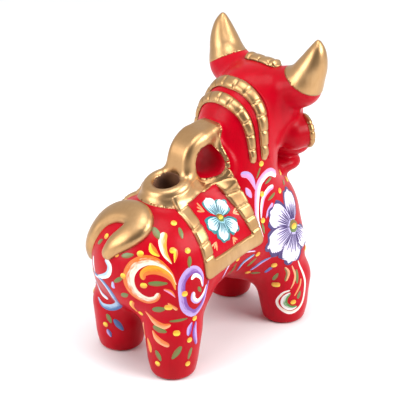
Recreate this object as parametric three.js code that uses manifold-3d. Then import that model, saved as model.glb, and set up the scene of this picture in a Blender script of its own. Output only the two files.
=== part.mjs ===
// Hand-built ceramic bull with horns, a pouring mouth and a carrying handle on its back.
// Millimetres. +X is forwards, +Y is the bull's left side, +Z is up, and the soles stand on z = 0.
import * as THREE from 'three';
import { ParametricGeometry } from 'three/addons/geometries/ParametricGeometry.js';
import { mergeVertices } from 'three/addons/utils/BufferGeometryUtils.js';
import Module from 'manifold-3d';

// ---- driving dimensions ----
const GAP = 0.3;               // joint line between two pieces
const WALL = 5;                // clay wall of the hollow pieces
const SEGMENTS = 20;           // facets round a full turn
const HOLLOW_SEGMENTS = 12;    // facets round the hidden hollows
const CENTRE_X = 4.5;          // middle of the bull's length, moved to x = 0 at the end

const HIP = { at: [-42, 0, 67], r: [37, 38.5, 35] };
const BELLY = { at: [-4, 0, 71.5], r: [50, 37.5, 31] };
const CHEST = { at: [36, 0, 66.5], r: [36.5, 36, 40] };
const SKULL = { at: [50, 0, 138.5], r: [25, 25, 24] };

const NECK_BASE = { from: [20, 0, 92], r0: 31.5, to: [29, 0, 134], r1: 26 };
const NECK_TOP = { from: [29, 0, 134], r0: 26, to: [38, 0, 145], r1: 23.5 };
const NECK_VENT = { from: [22, 0, 80], r0: 13, to: [25, 0, 104], r1: 13 };
const SKULL_VENT = { from: [50, 0, 140], r0: 12, to: [30, 0, 124], r1: 12 };

const LEG_PROFILE = [           // radius, height; the round top is trimmed by the barrel
  [11.5, 0], [12.8, 0.8], [13.7, 2.6], [14.2, 12], [15.8, 30], [18.3, 50], [16.5, 58], [11, 64.5], [0, 68],
];
const LEG_FLOOR = 7;           // thickness of the sole
const LEGS = {
  rear: { x: -49.5, y: 23.7, lean: [0.105, -0.05] },
  front: { x: 49, y: 24.5, lean: [-0.14, -0.08] },
};
const VENT_RADIUS = 5;         // firing vent from each leg into the barrel

const HORN_STUB = { from: [50, 0, 145.5], r0: 15.8, to: [53.2, 31, 160.2], r1: 12 };
const HORN_SEAT = { at: [53.4, 31.8, 161.7], normal: [0.05, 0.45, 0.89] };
const HORN_ROWS = [             // x, y, z, radius
  [53.2, 30.2, 158, 11.8], [54.2, 34.6, 167, 10.4], [55, 37.6, 174, 8.4],
  [55.6, 39.4, 181, 5.6], [56, 39.7, 186, 2.8], [56, 39.6, 189.4, 0.9],
];

const SNOUT = { from: [62, 0, 130], r0: 18, to: [69, 0, 117], r1: 16 };
const UPPER_LIP = { at: [73.5, 0, 108.5], r: [14.5, 17.5, 8] };
const LOWER_JAW = { at: [67, 0, 98], r: [13.5, 16, 7] };
const NOSTRIL = { at: [86, 6.5, 116.5], r: [4, 2.6, 2.6] };

const EYE = { at: [58, 21, 124], look: [0.91, 0.4, 0.1], r0: 10.5, r1: 9.6 };
const EYE_SOCKET_LENGTH = 7.5; // from the socket's centre to the flat rim that carries the ring
const EYE_RING = { radius: 9, halfWidth: 2.1 };
const EYEBALL_RADIUS = 8.2;

const SPOUT = { at: [-32, 0, 112.6], normal: [-0.25, 0, 0.97], tube: 12.5, depth: -22 };
const SPOUT_BORE_PROFILE = [[7.8, -22], [7.8, -2], [9, 2.2]];   // radius, height over the rim plane
const SPOUT_OUTER_PROFILE = [
  [11.5, 3.8], [14, 2.2], [15.3, -1.5], [15, -6], [16.8, -11], [20.5, -16], [23, -20], [23, -22],
];
const EYELET = { x: -7, z: 121, bore: 9.6, rim: 13.2, relief: 2.2 };
const HANDLE_ROWS = [           // x, z, half width across the bull, half thickness
  [-27, 103, 11, 7], [-22.5, 112, 10.5, 6], [-17.5, 122, 10, 5], [-11.5, 131, 10, 4.5],
  [-3, 136.5, 10.5, 4.5], [6, 139, 11, 4.5], [14, 140, 11.5, 4.5],
];
const SADDLE = { at: [-12, 0, 90], r: [27, 23, 19] };

const CLOTH = { thickness: 2.2, borderThickness: 3.8, depth: 60 };
const CLOTH_INNER = [[-31, 103], [-4, 112], [5, 78.5], [-30, 74.5]];   // x, z corners of the red field
const CLOTH_OUTER = [[-39, 106], [4, 119], [14.5, 68], [-38, 63.5]];   // x, z corners of the gold border

const ROPE_FRONT = [            // x, y, z, half width, half height, one side from the nape downwards
  [21.5, 0, 163, 4.2, 3.4], [23.6, 10, 160.8, 4.2, 3.4], [25.2, 17.5, 156, 4, 3.3], [26.2, 22.8, 149, 3.8, 3.2],
  [25.9, 25.6, 142, 3.5, 3], [25.4, 27.2, 133, 3.1, 2.8], [25, 28, 119, 2.4, 2.4],
];
const ROPE_REAR = [
  [12.5, 0, 155.4, 4, 3.2], [13.2, 11.3, 153, 3.8, 3.2], [14.3, 17.3, 148.8, 3.6, 3], [15.3, 21.5, 143, 3.4, 3],
  [16.2, 24.2, 135.3, 3, 2.8], [16.6, 25.8, 126, 2.7, 2.6], [16.6, 26.8, 118, 2.2, 2.2],
];
const FORELOCK = [[50.5, 0, 163, 4.4, 4.2], [51, 6, 163.5, 4.4, 4], [52, 13, 162, 3, 3]];
const TAIL = [                  // root, over the rump and down the left hip; half width, half height
  [-75, 1, 81, 5, 3.5], [-69.5, -7, 90, 7.5, 4.5], [-62, -10, 96, 9, 5], [-56.5, -2, 99.5, 9, 5],
  [-57.5, 10, 98, 8.5, 5], [-61, 21, 91, 7.5, 4.5], [-65.5, 27, 81, 6.5, 4.5], [-66.5, 31, 71, 5.5, 4],
  [-64, 34, 62, 2.5, 2.5],
];
const DEWLAP = [                // gold frill down the middle of the chest
  [60, 0, 95, 2.5, 2.5], [67.5, 0, 88, 3, 2.8], [72, 0, 76, 3.2, 2.8], [72, 0, 60, 3, 2.6], [68, 0, 49, 2, 2],
];

// ---- solids ----
const wasm = await Module();
wasm.setup();

function solid(geometry) {
  geometry.deleteAttribute('normal');
  geometry.deleteAttribute('uv');
  const merged = mergeVertices(geometry, 1e-3);
  const position = merged.attributes.position;
  const index = merged.index.array;
  const corner = (i) => new THREE.Vector3().fromBufferAttribute(position, i);
  const triangles = [];
  let volume = 0;
  for (let i = 0; i < index.length; i += 3) {
    const [a, b, c] = [index[i], index[i + 1], index[i + 2]];
    if (a === b || b === c || c === a) continue;
    triangles.push([a, b, c]);
    volume += corner(a).dot(corner(b).cross(corner(c)));
  }
  const outward = volume > 0 ? triangles : triangles.map(([a, b, c]) => [a, c, b]);
  const vertProperties = new Float32Array(position.array);
  return new wasm.Manifold(new wasm.Mesh({ numProp: 3, vertProperties, triVerts: new Uint32Array(outward.flat()) }));
}

const join = (...pieces) => pieces.reduce((whole, piece) => whole.add(piece));
const cut = (piece, ...tools) => tools.reduce((rest, tool) => rest.subtract(tool), piece);
const mirrored = (point, side) => [point[0], point[1] * side, point[2]];

function ellipsoid({ at, r }, grow = 0, side = 1) {
  const segments = grow < 0 ? HOLLOW_SEGMENTS : SEGMENTS;
  const geometry = new THREE.SphereGeometry(1, segments, segments / 2);
  geometry.rotateX(Math.PI / 2);
  geometry.scale(r[0] + grow, r[1] + grow, r[2] + grow);
  geometry.translate(...mirrored(at, side));
  return solid(geometry);
}

// Turns a geometry that stands on the Y axis so that it stands on the given axis at the given point.
function stand(geometry, at, axis) {
  const up = new THREE.Vector3(0, 1, 0);
  geometry.applyQuaternion(new THREE.Quaternion().setFromUnitVectors(up, axis.clone().normalize()));
  geometry.translate(...at);
  return solid(geometry);
}

function lathe(profile, at, axis, segments = SEGMENTS) {
  const points = profile.map(([radius, height]) => new THREE.Vector2(radius, height));
  return stand(new THREE.LatheGeometry(points, segments), at, axis);
}

// Two balls and the cone that touches both.
function roundCone({ from, r0, to, r1 }, grow = 0, side = 1) {
  const start = new THREE.Vector3(...mirrored(from, side));
  const axis = new THREE.Vector3(...mirrored(to, side)).sub(start);
  const length = axis.length();
  const tilt = Math.asin((r0 - r1) / length);
  const segments = grow < 0 ? HOLLOW_SEGMENTS : SEGMENTS;
  const steps = segments / 4;
  const profile = [];
  for (let i = 0; i <= steps; i += 1) {
    const angle = -Math.PI / 2 + (i / steps) * (Math.PI / 2 + tilt);
    profile.push([(r0 + grow) * Math.cos(angle), (r0 + grow) * Math.sin(angle)]);
  }
  for (let i = 0; i <= steps; i += 1) {
    const angle = tilt + (i / steps) * (Math.PI / 2 - tilt);
    profile.push([(r1 + grow) * Math.cos(angle), length + (r1 + grow) * Math.sin(angle)]);
  }
  profile[0][0] = 0;
  profile[profile.length - 1][0] = 0;
  return lathe(profile, start.toArray(), axis, segments);
}

// The half space on the far side of a plane, as one large box.
function beyond(at, normal, offset = 0) {
  const size = 400;
  const axis = new THREE.Vector3(...normal).normalize();
  const centre = new THREE.Vector3(...at).addScaledVector(axis, size / 2 + offset);
  return stand(new THREE.BoxGeometry(size, size, size), centre.toArray(), axis);
}

function crossBar(x, z, radius) {
  const geometry = new THREE.CylinderGeometry(radius, radius, 200, SEGMENTS);
  geometry.translate(x, 0, z);
  return solid(geometry);
}

// A smooth bar through rows of [x, y, z, half width, half height] with rounded ends. Its height lies along outward(p).
function bar(rows, outward, { around = 10, along = 24, ends = 0.06 } = {}) {
  const spine = new THREE.CatmullRomCurve3(rows.map(([x, y, z]) => new THREE.Vector3(x, y, z)));
  const sizes = new THREE.CatmullRomCurve3(rows.map((row) => new THREE.Vector3(row[3], row[4], 0)));
  const surface = (u, v, target) => {
    const t = (1 - Math.cos(Math.PI * v)) / 2;
    const rounding = Math.sqrt(Math.max(0, 1 - (1 - Math.min(t / ends, (1 - t) / ends, 1)) ** 2));
    const point = spine.getPoint(t);
    const size = sizes.getPoint(t);
    const tangent = spine.getTangent(t);
    const side = new THREE.Vector3().crossVectors(outward(point), tangent).normalize();
    const normal = new THREE.Vector3().crossVectors(tangent, side).normalize();
    target.copy(point);
    target.addScaledVector(side, Math.cos(u * 2 * Math.PI) * size.x * rounding);
    target.addScaledVector(normal, Math.sin(u * 2 * Math.PI) * size.y * rounding);
  };
  return solid(new ParametricGeometry(surface, around, along));
}

const bothSides = (rows) => [...rows.slice(1).reverse().map(([x, y, ...rest]) => [x, -y, ...rest]), ...rows];
const away = (x, z) => (p) => new THREE.Vector3(p.x - x, p.y, p.z - z);

// ---- main masses, drawn larger by "grow" ----
const barrel = (grow = 0) => join(ellipsoid(HIP, grow), ellipsoid(BELLY, grow), ellipsoid(CHEST, grow));
const neck = (grow = 0) => join(roundCone(NECK_BASE, grow), roundCone(NECK_TOP, grow));
const skull = (grow = 0) => ellipsoid(SKULL, grow);
const stub = (side, grow = 0) => cut(
  roundCone(HORN_STUB, grow, side),
  beyond(mirrored(HORN_SEAT.at, side), mirrored(HORN_SEAT.normal, side), grow),
);
const snout = (grow = 0) => join(roundCone(SNOUT, grow), ellipsoid(UPPER_LIP, grow));
const eyelet = (radius = EYELET.bore) => crossBar(EYELET.x, EYELET.z, radius);
const spoutAxis = new THREE.Vector3(...SPOUT.normal);
const spoutRod = (radius) => lathe([[0, -45], [radius, -45], [radius, 20], [0, 20]], SPOUT.at, spoutAxis);

const barrelJoint = barrel(GAP);
const neckJoint = neck(GAP);
const skullJoint = skull(GAP);
const snoutJoint = snout(GAP);

// ---- barrel, neck and head ----
function legOutline(leg, side, inset) {
  const floor = inset ? LEG_FLOOR : 0;
  const wall = LEG_PROFILE.filter(([, height]) => height >= floor);
  const profile = [[0, floor], ...wall.map(([radius, height]) => [Math.max(radius - inset, 0), height])];
  const points = profile.map(([radius, height]) => new THREE.Vector2(radius, height));
  const geometry = new THREE.LatheGeometry(points, inset ? HOLLOW_SEGMENTS : SEGMENTS);
  geometry.rotateX(Math.PI / 2);
  geometry.applyMatrix4(new THREE.Matrix4().set(
    1, 0, leg.lean[0], leg.x,
    0, 1, leg.lean[1] * side, leg.y * side,
    0, 0, 1, 0,
    0, 0, 0, 1,
  ));
  return solid(geometry);
}

function legVent(leg, side) {
  const geometry = new THREE.CylinderGeometry(VENT_RADIUS, VENT_RADIUS, 30, SEGMENTS / 2);
  geometry.rotateX(Math.PI / 2);
  const height = 44;
  geometry.translate(leg.x + leg.lean[0] * height, (leg.y + leg.lean[1] * height) * side, height);
  return solid(geometry);
}

const sides = [['left', 1], ['right', -1]];
const legVents = Object.values(LEGS).flatMap((leg) => sides.map(([, side]) => legVent(leg, side)));
const neckVent = roundCone(NECK_VENT);

// The barrel is pressed in two bowls that meet along the spine.
function makeBarrelHalf(side) {
  const whole = cut(barrel(), barrel(-WALL), spoutRod(SPOUT.tube + GAP), neckVent, ...legVents);
  return cut(whole, beyond([0, 0, 0], [0, -side, 0], -GAP / 2));
}

function makeLeg(leg, side) {
  return largest(cut(legOutline(leg, side, 0), legOutline(leg, side, WALL), barrelJoint));
}

function makeNeck() {
  const hollow = cut(neck(-WALL), eyelet(EYELET.bore + WALL));
  return cut(neck(), hollow, barrelJoint, skullJoint, snoutJoint, eyelet());
}

function makeSkull() {
  return cut(skull(), skull(-WALL), roundCone(SKULL_VENT));
}

// ---- horns and face ----
function makeHorn(side) {
  const rows = HORN_ROWS.map(([x, y, z, radius]) => [x, y * side, z, radius, radius]);
  const horn = bar(rows, () => new THREE.Vector3(1, 0, 0), { around: 14, along: 12, ends: 0.03 });
  const seat = beyond(mirrored(HORN_SEAT.at, side), mirrored(HORN_SEAT.normal, side), GAP);
  return horn.intersect(seat);
}

function makeSnout() {
  const nostrils = sides.map(([, side]) => ellipsoid(NOSTRIL, 0, side));
  return cut(snout(), skullJoint, barrelJoint, ...nostrils);
}

function eyePoint(side, distance) {
  const look = new THREE.Vector3(...mirrored(EYE.look, side)).normalize();
  return new THREE.Vector3(...mirrored(EYE.at, side)).addScaledVector(look, distance).toArray();
}

function makeEyeSocket(side) {
  const socket = roundCone({ from: eyePoint(side, 0), r0: EYE.r0, to: eyePoint(side, 10), r1: EYE.r1 });
  const rim = beyond(eyePoint(side, EYE_SOCKET_LENGTH), mirrored(EYE.look, side));
  return cut(socket, rim, skullJoint, snoutJoint, neckJoint);
}

function eyeRing(side, grow = 0) {
  const steps = 6;
  const profile = [];
  for (let i = 0; i <= steps; i += 1) {
    const angle = (i / steps) * 2 * Math.PI;
    const size = EYE_RING.halfWidth + grow;
    profile.push([EYE_RING.radius + size * Math.cos(angle), size * Math.sin(angle)]);
  }
  const axis = new THREE.Vector3(...mirrored(EYE.look, side));
  return lathe(profile, eyePoint(side, EYE_SOCKET_LENGTH + 1.6), axis);
}

function makeEyeRing(side) {
  const front = beyond(eyePoint(side, EYE_SOCKET_LENGTH), mirrored(EYE.look, side), GAP);
  return cut(eyeRing(side).intersect(front), skullJoint, snoutJoint);
}

function makeEyeball(side) {
  const ball = ellipsoid({ at: eyePoint(side, 3.5), r: [EYEBALL_RADIUS, EYEBALL_RADIUS, EYEBALL_RADIUS] });
  const front = beyond(eyePoint(side, EYE_SOCKET_LENGTH), mirrored(EYE.look, side), GAP);
  return cut(ball.intersect(front), eyeRing(side, GAP), snoutJoint);
}

// ---- handle, spout and saddle ----
// A round-lipped collar whose tube goes down through the barrel's wall.
function makeSpout() {
  const profile = [...SPOUT_BORE_PROFILE, ...SPOUT_OUTER_PROFILE, SPOUT_BORE_PROFILE[0]];
  return cut(lathe(profile, SPOUT.at, spoutAxis), cut(barrelJoint, spoutRod(SPOUT.tube)), neckJoint);
}

// The collar with its mouth filled, to trim what leans on it.
function spoutPlug() {
  const grown = SPOUT_OUTER_PROFILE.map(([radius, height]) => [radius + GAP, height + GAP]);
  const foot = SPOUT.depth - GAP;
  const profile = [[0, grown[0][1]], ...grown, [grown.at(-1)[0], foot], [0, foot]];
  return lathe(profile, SPOUT.at, spoutAxis);
}

function strap(grow = 0) {
  const rows = HANDLE_ROWS.map(([x, z, width, height]) => [x, 0, z, width + grow, height + grow]);
  return bar(rows, away(0, 110), { around: 16, along: 16, ends: 0.02 });
}

function handleMass(grow = 0) {
  const rim = neck(EYELET.relief + grow).intersect(eyelet(EYELET.rim + grow));
  return join(strap(grow), rim);
}

function makeHandle() {
  return largest(cut(handleMass(), eyelet(), neckJoint, barrelJoint, spoutPlug()));
}

function makeSaddle() {
  return largest(cut(ellipsoid(SADDLE), barrelJoint, neckJoint, spoutPlug(), eyelet(), handleMass(GAP)));
}

// ---- saddle cloth on each flank ----
function prism(corners, side, depth) {
  const shape = new THREE.Shape(corners.map(([x, z]) => new THREE.Vector2(x, z)));
  const geometry = new THREE.ExtrudeGeometry(shape, { depth, bevelEnabled: false });
  geometry.rotateX(Math.PI / 2);
  geometry.translate(0, side > 0 ? depth : 0, 0);
  return solid(geometry);
}

function grownCorners(corners, grow) {
  const middle = corners.reduce(([a, b], [x, z]) => [a + x / corners.length, b + z / corners.length], [0, 0]);
  return corners.map(([x, z]) => [x + grow * Math.sign(x - middle[0]), z + grow * Math.sign(z - middle[1])]);
}

const saddleTools = () => [barrelJoint, neckJoint, ellipsoid(SADDLE, GAP), handleMass(GAP), spoutPlug(), eyelet()];

function makeCloth(side) {
  const field = barrel(CLOTH.thickness).intersect(prism(CLOTH_INNER, side, CLOTH.depth));
  return largest(cut(field, ...saddleTools()));
}

function makeClothBorder(side) {
  const outer = barrel(CLOTH.borderThickness).intersect(prism(CLOTH_OUTER, side, CLOTH.depth));
  return largest(cut(outer, prism(grownCorners(CLOTH_INNER, GAP), side, CLOTH.depth), ...saddleTools()));
}

// Keeps the main body of a trimmed piece.
function largest(piece) {
  return piece.decompose().reduce((a, b) => (a.volume() > b.volume() ? a : b));
}

// ---- ropes, forelock, tail and dewlap ----
const skin = () => [barrelJoint, neckJoint, skullJoint, snoutJoint, stub(1, GAP), stub(-1, GAP)];

function makeRope(rows) {
  return cut(bar(bothSides(rows), away(30, 130), { around: 8, along: 30 }), ...skin());
}

function makeForelock() {
  return cut(bar(bothSides(FORELOCK), away(45, 120), { around: 10, along: 14, ends: 0.15 }), ...skin());
}

function makeTail() {
  const [x, y, z] = HIP.at;
  const outward = (p) => new THREE.Vector3(p.x - x, p.y - y, p.z - z);
  return largest(cut(bar(TAIL, outward, { around: 10, along: 28, ends: 0.08 }), barrelJoint));
}

function makeDewlap() {
  return largest(cut(bar(DEWLAP, away(30, 70), { around: 8, along: 18 }), barrelJoint, snoutJoint, neckJoint, ellipsoid(LOWER_JAW, GAP)));
}

// ---- assembly ----
const GLAZES = {
  red: { color: 0xb8102c, roughness: 0.28, metalness: 0 },
  gold: { color: 0xc9a063, roughness: 0.38, metalness: 0.8 },
  white: { color: 0xf3efe6, roughness: 0.3, metalness: 0 },
};

const group = new THREE.Group();
group.position.x = -CENTRE_X;

function add(name, piece, glaze) {
  const { vertProperties, triVerts } = piece.getMesh();
  const geometry = new THREE.BufferGeometry();
  geometry.setAttribute('position', new THREE.BufferAttribute(new Float32Array(vertProperties), 3));
  geometry.setIndex(new THREE.BufferAttribute(new Uint32Array(triVerts), 1));
  geometry.computeVertexNormals();
  const mesh = new THREE.Mesh(geometry, new THREE.MeshStandardMaterial(GLAZES[glaze]));
  mesh.name = name;
  group.add(mesh);
}

add('neck', makeNeck(), 'red');
add('skull', makeSkull(), 'red');
add('snout', makeSnout(), 'red');
add('lower_jaw', cut(ellipsoid(LOWER_JAW), snoutJoint, barrelJoint, neckJoint), 'red');
add('pouring_spout', makeSpout(), 'gold');
add('carrying_handle', makeHandle(), 'gold');
add('saddle_mound', makeSaddle(), 'gold');
add('tail', makeTail(), 'gold');
add('dewlap', makeDewlap(), 'gold');
add('neck_rope_front', makeRope(ROPE_FRONT), 'gold');
add('neck_rope_rear', makeRope(ROPE_REAR), 'gold');
add('forelock', makeForelock(), 'gold');

for (const [label, side] of sides) {
  add(`barrel_${label}`, makeBarrelHalf(side), 'red');
  add(`leg_front_${label}`, makeLeg(LEGS.front, side), 'red');
  add(`leg_rear_${label}`, makeLeg(LEGS.rear, side), 'red');
  add(`horn_stub_${label}`, cut(stub(side), skullJoint, neckJoint), 'red');
  add(`horn_${label}`, makeHorn(side), 'gold');
  add(`eye_socket_${label}`, makeEyeSocket(side), 'red');
  add(`eye_ring_${label}`, makeEyeRing(side), 'gold');
  add(`eyeball_${label}`, makeEyeball(side), 'white');
  add(`saddle_cloth_${label}`, makeCloth(side), 'red');
  add(`saddle_border_${label}`, makeClothBorder(side), 'gold');
}

export default group;
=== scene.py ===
import math

import bpy
import numpy as np
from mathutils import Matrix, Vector


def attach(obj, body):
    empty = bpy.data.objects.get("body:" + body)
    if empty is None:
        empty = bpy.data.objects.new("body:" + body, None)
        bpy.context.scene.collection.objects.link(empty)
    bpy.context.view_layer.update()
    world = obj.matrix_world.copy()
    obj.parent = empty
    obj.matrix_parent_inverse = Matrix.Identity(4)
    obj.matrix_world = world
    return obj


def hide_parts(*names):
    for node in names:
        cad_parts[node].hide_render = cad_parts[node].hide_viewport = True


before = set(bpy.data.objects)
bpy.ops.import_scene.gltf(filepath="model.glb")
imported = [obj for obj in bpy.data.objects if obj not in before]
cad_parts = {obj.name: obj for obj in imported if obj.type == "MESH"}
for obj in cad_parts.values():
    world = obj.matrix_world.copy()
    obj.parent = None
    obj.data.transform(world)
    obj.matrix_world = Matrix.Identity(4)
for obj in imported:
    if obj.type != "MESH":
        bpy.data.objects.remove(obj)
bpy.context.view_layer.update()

# Shapes are in millimetres with x = 0 between the legs; the frame's x = 0 is CENTRE_X further forward.
CENTRE_X = 4.5
SKIN_CELL = 1.05
GOLD_CELL = 0.75
HORN_CELL = 0.8
PAINT = 0.15                    # thickness of the gold paint over the clay

# ---- driving dimensions, millimetres ----
HIP = ((-42, 0, 67), (37, 38.5, 35))
BELLY = ((-6, 0, 72), (46, 36, 28))
CHEST = ((36, 0, 66), (36.5, 35.5, 40))
SKULL = ((50, 0, 138.5), (25, 25, 24))
NECK = [((20, 0, 92), 31), ((31.5, 0, 134), 24), ((41, 0, 146), 22)]
LEG_REAR = (-49.5, 23.7, 4, -2)      # x, y of the sole, then how far the top leans
LEG_FRONT = (49, 24.5, -6, -3)
HORN_STUB = ((50, 0, 145), (53.2, 31, 159.8), 18.5, 12)
HORN_SEAT = ((53.4, 32.4, 162.2), (0.05, 0.5, 0.86))
HORN_ROWS = [
    (53.2, 30.2, 158, 11.8), (54.2, 34.6, 167, 10.4), (55, 37.6, 174, 8.4),
    (55.6, 39.4, 181, 5.6), (56, 39.7, 186, 2.8), (56, 39.6, 188.2, 1.1),
]
SNOUT = ((62, 0, 130), (69, 0, 117), 18, 16)
UPPER_LIP = ((73.5, 0, 108.5), (14.5, 17, 8))
LOWER_JAW = ((67, 0, 98), (13.5, 15.5, 7))
NOSTRIL = ((86.5, 6.5, 114), (4.5, 2.6, 3.0))
EYE = ((58, 21, 124), (0.91, 0.4, 0.1), 10.5, 9.6)
EYE_RIM = 7.5                   # from the eye socket's centre to the flat rim
EYE_RING = (8.9, 2.2, 12)       # radius, thickness and number of lobes
EYEBALL_RADIUS, PUPIL_RADIUS = 7.2, 3.6
EYELET = (-7.4, 121, 8.8, 9.8)   # x, z and the two radii of the gap under the handle
SPOUT = ((-31, 0, 112), (-0.25, 0, 0.97))    # middle of the rim and the mouth's axis
SPOUT_LIP = (11.5, 3.8)         # radius of the rolled lip and its thickness
SPOUT_BORE, SPOUT_DEPTH = 7.6, 34
HOLLOW = ((-16, 0, 70), (34, 20, 17))
STRAP = [
    (-21, 0, 103, 6), (-18.3, 0, 112, 5), (-15.2, 0, 122, 4.6), (-9.5, 0, 130.5, 4.5), (-3, 0, 135, 4.3),
    (3, 0, 137, 3.8),
]
STRAP_HALF_WIDTH = 5.2          # before the strap's own roundness
RING_THICKNESS = 7.2            # of the band round the gap
GAP_RIM = 2.4                   # width of the gold ring round the gap
GAP_PAINT_EDGE = 0.9            # the gold stops this far outside the gap's wall
MOUND = ((-12, 0, 89), (25, 23, 18))

# x, z corners in the side elevation
CLOTH_INNER = [(-31, 103.5), (-6, 107), (5, 77.5), (-31, 75)]
CLOTH_OUTER = [(-39.5, 112), (2, 119), (14.8, 69), (-38.5, 63)]
BORDER_HEIGHT, CLOTH_HEIGHT, TAIL_HEIGHT = 1.9, 0.5, 5.0
NOTCH_STEP, NOTCH_DEPTH = 8.2, 0.8
SHELL_SINK = 1.5                # how far the raised shells reach under the skin
BRUSH_WIDTH = 1.25              # how much wider than its drawn half width a stroke comes out
DOT_RADIUS = 1.75
NO_CUT = -9.0                   # distance to a cut where it takes nothing away


# ---- distance fields ----
def unit(v):
    v = np.array(v, float)
    return v / np.linalg.norm(v)


def length(v):
    return np.sqrt(np.einsum("ij,ij->i", v, v))


def soft_min(a, b, k):
    h = np.clip(0.5 + 0.5 * (b - a) / k, 0, 1)
    return b + (a - b) * h - k * h * (1 - h)


def soft_max(a, b, k):
    return -soft_min(-a, -b, k)


def ellipsoid(p, at, radii):
    q = (p - np.array(at, float)) / np.array(radii, float)
    k0 = length(q)
    k1 = length(q / np.array(radii, float)) + 1e-9
    return k0 * (k0 - 1) / k1


def round_cone(p, a, b, ra, rb):
    a, b = np.array(a, float), np.array(b, float)
    axis = b - a
    l2 = axis @ axis
    rr = ra - rb
    a2 = l2 - rr * rr
    pa = p - a
    y = pa @ axis
    z = y - l2
    side = pa * l2 - y[:, None] * axis
    x2 = np.einsum("ij,ij->i", side, side)
    y2, z2 = y * y * l2, z * z * l2
    k = np.sign(rr) * rr * rr * x2
    d = (np.sqrt(x2 * a2 / l2) + y * rr) / l2 - ra
    d = np.where(np.sign(y) * a2 * y2 < k, np.sqrt(x2 + y2) / l2 - ra, d)
    return np.where(np.sign(z) * a2 * z2 > k, np.sqrt(x2 + z2) / l2 - rb, d)


def spline(rows, steps):
    """Catmull-Rom curve through rows of numbers, each stretch in so many steps."""
    rows = np.array(rows, float)
    rows = np.vstack([2 * rows[0] - rows[1], rows, 2 * rows[-1] - rows[-2]])
    out = []
    for i in range(1, len(rows) - 2):
        a, b, c, d = rows[i - 1:i + 3]
        for t in np.arange(steps) / steps:
            out.append(0.5 * (2 * b + (c - a) * t + (2 * a - 5 * b + 4 * c - d) * t ** 2
                              + (3 * b - a - 3 * c + d) * t ** 3))
    out.append(rows[-2])
    return np.array(out)


def chain(p, line):
    """Round cones from each point of the line to the next; a point is x, y, z, radius."""
    return np.min([round_cone(p, a[:3], b[:3], a[3], b[3]) for a, b in zip(line[:-1], line[1:])], axis=0)


def tube(p, rows, steps):
    return chain(p, spline(rows, steps))


def fold(p):
    """The left half stands for both halves."""
    q = p.copy()
    q[:, 1] = np.abs(q[:, 1])
    return q


def torso(q):
    d = soft_min(ellipsoid(q, *HIP), ellipsoid(q, *BELLY), 22)
    return soft_min(d, ellipsoid(q, *CHEST), 22)


def leg(q, x, y, lean_x, lean_y):
    shaft = round_cone(q, (x, y, 12), (x + lean_x, y + lean_y, 50), 14.2, 18.5)
    foot = round_cone(q, (x, y, 3), (x, y, 30), 13.7, 17)
    return soft_max(soft_min(shaft, foot, 4), -q[:, 2], 3)


def neck(q):
    (a, ra), (b, rb), (c, rc) = NECK
    return soft_min(round_cone(q, a, b, ra, rb), round_cone(q, b, c, rb - 0.5, rc), 6)


def seat_side(q):
    return (q - np.array(HORN_SEAT[0])) @ unit(HORN_SEAT[1])


def eye_look(side=1):
    return unit(EYE[1]) * np.array([1, side, 1])


def eye_socket(q):
    start, look = np.array(EYE[0], float), eye_look()
    bulge = round_cone(q, start, start + 10 * look, EYE[2], EYE[3])
    return soft_max(bulge, (q - start) @ look - EYE_RIM, 1.5)


def head(q):
    d = ellipsoid(q, *SKULL)
    d = soft_min(d, round_cone(q, *HORN_STUB[:2], *HORN_STUB[2:]), 8)
    d = soft_min(d, round_cone(q, *SNOUT[:2], *SNOUT[2:]), 8)
    d = soft_min(d, eye_socket(q), 4)
    d = soft_min(d, ellipsoid(q, *UPPER_LIP), 4)
    d = soft_max(d, -ellipsoid(q, *NOSTRIL), 1.5)
    return soft_min(d, ellipsoid(q, *LOWER_JAW), 2)


def clay(p):
    """The modelled bull without its handle and its horns."""
    q = fold(p)
    d = soft_min(torso(q), neck(q), 10)
    d = soft_min(d, np.minimum(leg(q, *LEG_REAR), leg(q, *LEG_FRONT)), 12)
    return soft_min(d, head(q), 7)


def eyelet_gap(p):
    x, z, rx, rz = EYELET
    u, v = (p[:, 0] - x) / rx, (p[:, 2] - z) / rz
    k0 = np.sqrt(u * u + v * v)
    k1 = np.sqrt((u / rx) ** 2 + (v / rz) ** 2) + 1e-9
    return k0 * (k0 - 1) / k1


def spout_frame(q):
    """Height above the mouth's rim plane and distance from its axis."""
    axis = unit(SPOUT[1])
    r = q - np.array(SPOUT[0], float)
    height = r @ axis
    return height, length(r - height[:, None] * axis)


def outline(p, corners, k):
    """Signed distance to a four-cornered outline in the side elevation."""
    d = None
    for (xa, za), (xb, zb) in zip(corners, corners[1:] + corners[:1]):
        size = math.hypot(xb - xa, zb - za)
        e = ((p[:, 0] - xa) * (za - zb) + (p[:, 2] - za) * (xb - xa)) / size
        d = e if d is None else soft_max(d, e, k)
    return d


def handle_shape(p):
    """Collar, strap and the band round the gap, as one smooth mass."""
    q = fold(p)
    height, radius = spout_frame(q)
    lip_radius, lip_thickness = SPOUT_LIP
    lip = np.sqrt((radius - lip_radius) ** 2 + np.maximum(np.abs(height + 5) - 3, 0) ** 2) - lip_thickness
    flare = soft_max(round_cone(q, (-30, 0, 90), (-32, 0, 103), 19.5, 14.5), height + 4, 3)
    d = soft_min(lip, flare, 5)
    beyond = np.maximum(q[:, 1] - STRAP_HALF_WIDTH, 0)
    w = q.copy()
    w[:, 1] = beyond
    d = soft_min(d, tube(w, STRAP, 5), 5)
    half = RING_THICKNESS / 2 - 1.3 * np.clip((p[:, 0] - EYELET[0]) / EYELET[2], 0, 1)
    ring = np.sqrt(beyond ** 2 + (eyelet_gap(p) - half) ** 2) - half
    return soft_min(d, ring, 6)


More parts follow.
